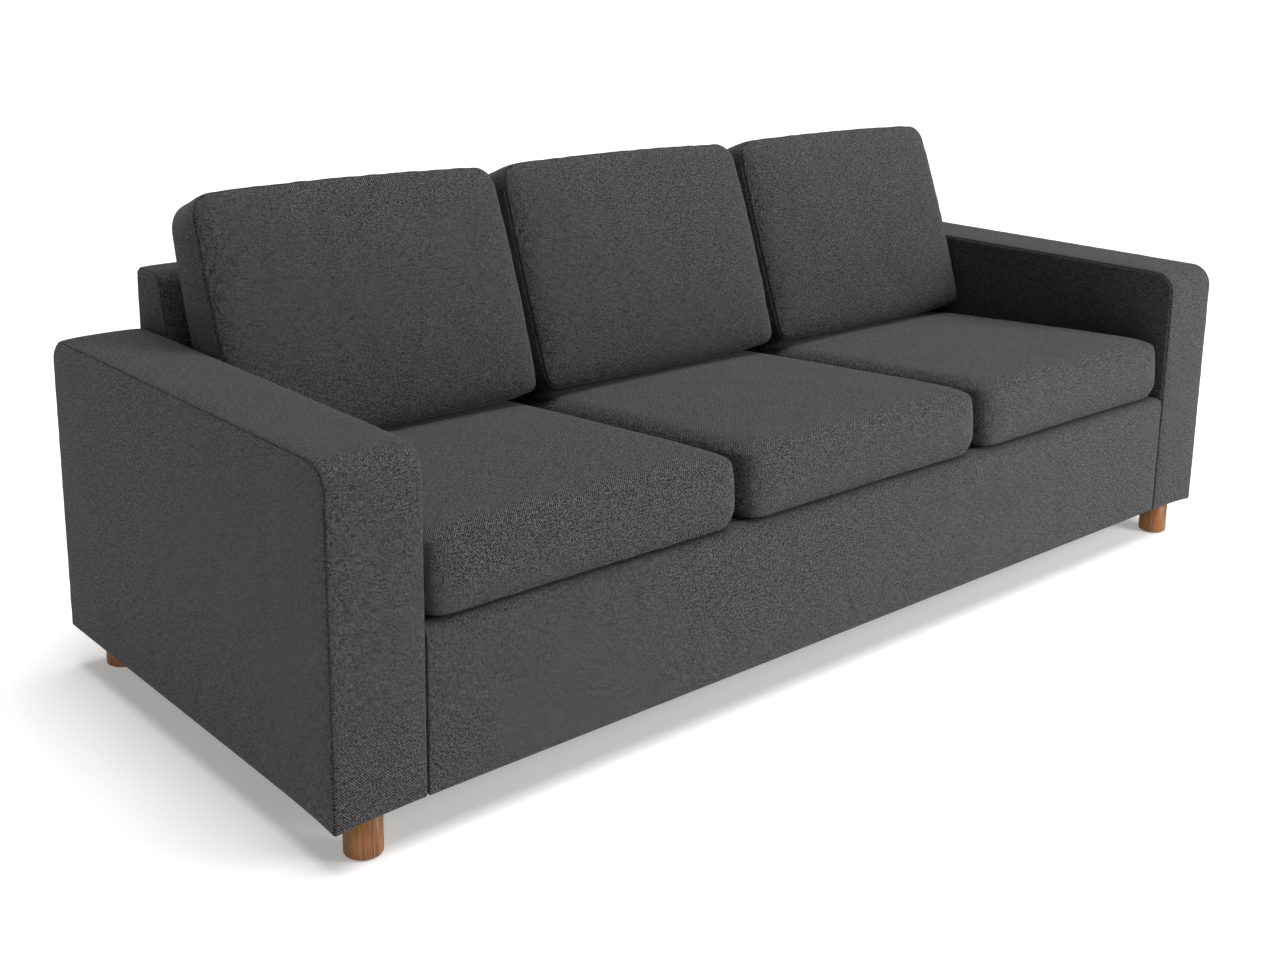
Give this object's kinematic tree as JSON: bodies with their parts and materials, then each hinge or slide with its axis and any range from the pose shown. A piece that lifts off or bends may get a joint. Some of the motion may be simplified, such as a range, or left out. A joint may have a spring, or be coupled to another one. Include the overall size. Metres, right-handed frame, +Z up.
{
  "type": "sofa with wooden legs",
  "caption": "Boxy upholstered sofa in dark grey woven fabric, with loose seat and back cushions, straight padded arms and short round oak legs.",
  "frame": {"origin": "on the floor, under the middle of the sofa's overall box", "axes": "+X along the sofa's length, to the right as seen from the front; +Y from the front to the rear; +Z up"},
  "size_m": [2.2, 0.896, 0.868],
  "materials": {
    "upholstery": "dark charcoal melange woven upholstery cloth",
    "oak": "oiled medium-brown oak",
    "pine": "planed pine",
    "plywood": "bare plywood",
    "hardboard": "brown hardboard",
    "foam": "pale polyurethane foam",
    "felt": "dark pressed felt",
    "webbing": "black elastic webbing",
    "tack_strip": "pressed card strip",
    "deck_cloth": "plain dark deck cloth",
    "dust_cloth": "black spun dust cloth",
    "steel": "zinc-plated steel"
  },
  "bodies": {
    "sofa": {"arm_bottom_board_left": "pine", "arm_bottom_board_right": "pine", "arm_inner_board_left": "plywood", "arm_inner_board_right": "plywood", "arm_inner_cover_left": "upholstery", "arm_inner_cover_right": "upholstery", "arm_outer_board_left": "hardboard", "arm_outer_board_right": "hardboard", "arm_outer_cover_left": "upholstery", "arm_outer_cover_right": "upholstery", "arm_padding_left": "foam", "arm_padding_right": "foam", "arm_posts_left": "pine", "arm_posts_right": "pine", "arm_strip_cover_left": "upholstery", "arm_strip_cover_right": "upholstery", "arm_top_board_left": "pine", "arm_top_board_right": "pine", "back_bottom_rail": "pine", "back_front_cover": "upholstery", "back_padding": "foam", "back_rear_board": "hardboard", "back_rear_cover": "upholstery", "back_ribs": "plywood", "back_top_rail": "pine", "back_webbing": "webbing", "connector_bolts": "steel", "dust_cover": "dust_cloth", "front_rail_cover": "upholstery", "front_rail_padding": "foam", "leg_front_left": "oak", "leg_front_right": "oak", "leg_glides": "felt", "leg_hanger_bolts": "steel", "leg_rear_left": "oak", "leg_rear_right": "oak", "plate_nuts": "steel", "seat_corner_blocks": "pine", "seat_cross_rails": "pine", "seat_deck_cloth": "deck_cloth", "seat_deck_pad": "felt", "seat_end_rail_left": "pine", "seat_end_rail_right": "pine", "seat_front_rail": "pine", "seat_rear_rail": "pine", "seat_webbing_front_to_rear": "webbing", "seat_webbing_side_to_side": "webbing", "webbing_tack_strips": "tack_strip"},
    "seat_cushion_left": {"seat_cushion_cover_left": "upholstery", "seat_cushion_core_left": "foam"},
    "back_cushion_left": {"back_cushion_cover_left": "upholstery", "back_cushion_core_left": "foam"},
    "seat_cushion_middle": {"seat_cushion_cover_middle": "upholstery", "seat_cushion_core_middle": "foam"},
    "back_cushion_middle": {"back_cushion_cover_middle": "upholstery", "back_cushion_core_middle": "foam"},
    "seat_cushion_right": {"seat_cushion_cover_right": "upholstery", "seat_cushion_core_right": "foam"},
    "back_cushion_right": {"back_cushion_cover_right": "upholstery", "back_cushion_core_right": "foam"}
  },
  "joints": [
    {"name": "seat_cushion_left_slide", "type": "slide", "parent": "sofa", "child": "seat_cushion_left", "axis": [0, -0.9976, 0.0698], "range_m": [0, 0.8]},
    {"name": "seat_cushion_middle_slide", "type": "slide", "parent": "sofa", "child": "seat_cushion_middle", "axis": [0, -0.9976, 0.0698], "range_m": [0, 0.8]},
    {"name": "seat_cushion_right_slide", "type": "slide", "parent": "sofa", "child": "seat_cushion_right", "axis": [0, -0.9976, 0.0698], "range_m": [0, 0.8]},
    {"name": "back_cushion_left_lift", "type": "slide", "parent": "sofa", "child": "back_cushion_left", "axis": [0, 0, 1], "range_m": [0, 0.45]},
    {"name": "back_cushion_middle_lift", "type": "slide", "parent": "sofa", "child": "back_cushion_middle", "axis": [0, 0, 1], "range_m": [0, 0.45]},
    {"name": "back_cushion_right_lift", "type": "slide", "parent": "sofa", "child": "back_cushion_right", "axis": [0, 0, 1], "range_m": [0, 0.45]}
  ]
}
